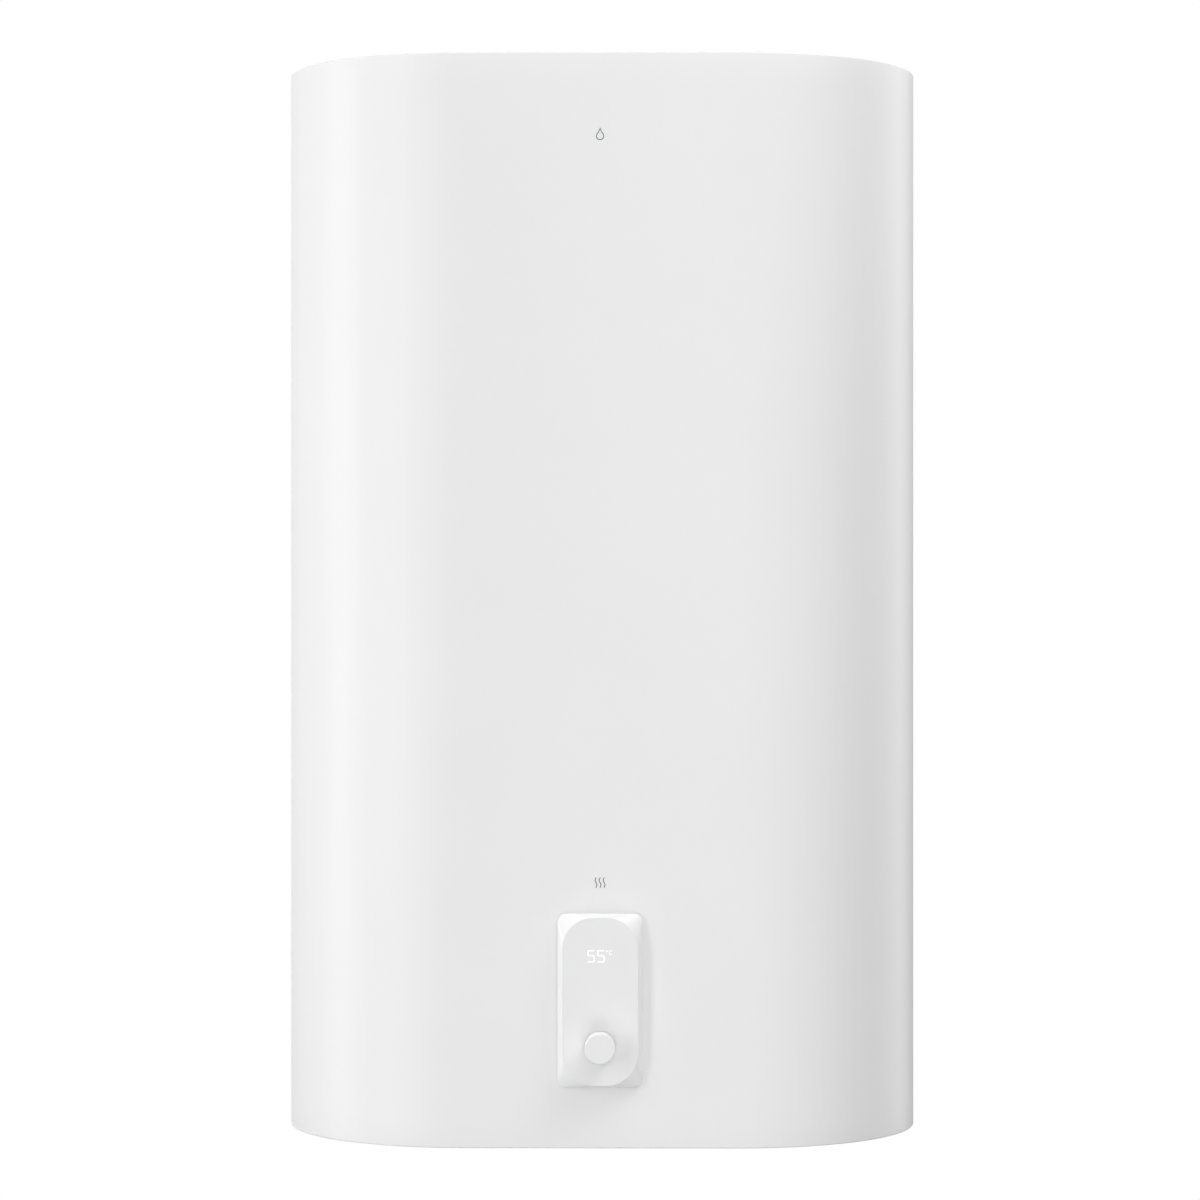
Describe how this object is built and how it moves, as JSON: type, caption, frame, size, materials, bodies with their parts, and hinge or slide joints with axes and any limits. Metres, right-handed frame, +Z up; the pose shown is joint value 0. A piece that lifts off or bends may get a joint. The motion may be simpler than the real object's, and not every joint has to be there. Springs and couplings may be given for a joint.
{
  "type": "tank water heater",
  "caption": "Slim wall-hung electric storage water heater: white stadium-section casing over twin tanks, with a small front control panel, lit temperature digits and a push-and-turn knob.",
  "frame": {"origin": "on the wall plane, at the centre of the four bracket slots, level with the casing's mid-height", "axes": "+X to the right as seen from the front, +Y towards the wall, +Z up"},
  "size_m": [0.515, 0.3409, 0.883],
  "materials": {
    "casing_white": "smooth white powder coat, semi-gloss",
    "cover_white": "fine-grained white ABS",
    "panel_white": "smooth white ABS, satin",
    "knob_white": "satin white ABS",
    "screw_steel": "bright steel",
    "zinc_steel": "zinc-plated steel",
    "tank_steel": "stainless steel sheet, mill finish",
    "element_steel": "stainless tube",
    "pipe_steel": "turned stainless steel",
    "anode_grey": "cast magnesium rod, dull grey",
    "seal_rubber": "black rubber",
    "foam": "rigid polyurethane foam, cream",
    "collar_blue": "blue plastic",
    "collar_red": "red plastic",
    "black_plastic": "black nylon",
    "terminal_grey": "light grey nylon",
    "button_red": "red plastic",
    "board_green": "glass-epoxy circuit board",
    "relay_blue": "blue relay case",
    "heat_sink_aluminium": "extruded, natural",
    "lead_sleeve": "silicone-sleeved wire",
    "display_black": "display module with white digits behind the panel's face",
    "encoder_metal": "die-cast body"
  },
  "bodies": {
    "root": {"bottom_cover": "cover_white", "bracket_nuts": "zinc_steel", "bracket_studs": "zinc_steel", "cable_gland": "black_plastic", "casing_shell": "casing_white", "cold_anode_rod": "anode_grey", "cold_flange_gasket": "seal_rubber", "cold_flange_plate": "tank_steel", "cold_flange_ring": "tank_steel", "cold_heating_element": "element_steel", "cold_inlet_pipe": "pipe_steel", "cold_pipe_collar": "collar_blue", "cold_sensor_pocket": "element_steel", "cold_tank_barrel": "tank_steel", "cold_tank_bottom_head": "tank_steel", "cold_tank_top_head": "tank_steel", "cover_screws": "screw_steel", "crossover_pipe": "pipe_steel", "display_board": "board_green", "display_module": "display_black", "element_leads": "lead_sleeve", "encoder_body": "encoder_metal", "flange_nuts": "zinc_steel", "flange_studs": "zinc_steel", "foam_insulation": "foam", "gland_nut": "black_plastic", "heat_sink": "heat_sink_aluminium", "hot_anode_rod": "anode_grey", "hot_flange_gasket": "seal_rubber", "hot_flange_plate": "tank_steel", "hot_flange_ring": "tank_steel", "hot_heating_element": "element_steel", "hot_outlet_pipe": "pipe_steel", "hot_pipe_collar": "collar_red", "hot_sensor_pocket": "element_steel", "hot_standpipe": "pipe_steel", "hot_tank_barrel": "tank_steel", "hot_tank_bottom_head": "tank_steel", "hot_tank_top_head": "tank_steel", "lower_tank_bridge": "tank_steel", "lower_wall_bracket": "zinc_steel", "panel_cable": "lead_sleeve", "panel_frame": "black_plastic", "panel_gasket": "seal_rubber", "panel_housing": "panel_white", "panel_screws": "screw_steel", "power_board": "board_green", "relays": "relay_blue", "stud_sleeves": "zinc_steel", "supply_leads": "lead_sleeve", "terminal_block": "terminal_grey", "thermal_cutout": "black_plastic", "top_cover": "cover_white", "upper_tank_bridge": "tank_steel", "upper_wall_bracket": "zinc_steel"},
    "press_plunger": {"switch_plunger": "black_plastic"},
    "knob": {"control_knob": "knob_white", "encoder_shaft": "screw_steel", "knob_clip": "screw_steel"},
    "reset_button": {"reset_button": "button_red"}
  },
  "joints": [
    {"name": "knob_press", "type": "slide", "parent": "root", "child": "press_plunger", "axis": [0, 1, 0], "range_m": [0, 0.0007], "stiffness_N_per_m": 3000, "springref_m": -0.0007},
    {"name": "knob_turn", "type": "hinge", "parent": "press_plunger", "child": "knob", "pos_m": [0, -0.3258, -0.351], "axis": [0, 1, 0], "continuous": true},
    {"name": "reset_press", "type": "slide", "parent": "root", "child": "reset_button", "axis": [0, 0, 1], "range_m": [0, 0.0015], "stiffness_N_per_m": 1000, "springref_m": -0.001}
  ]
}
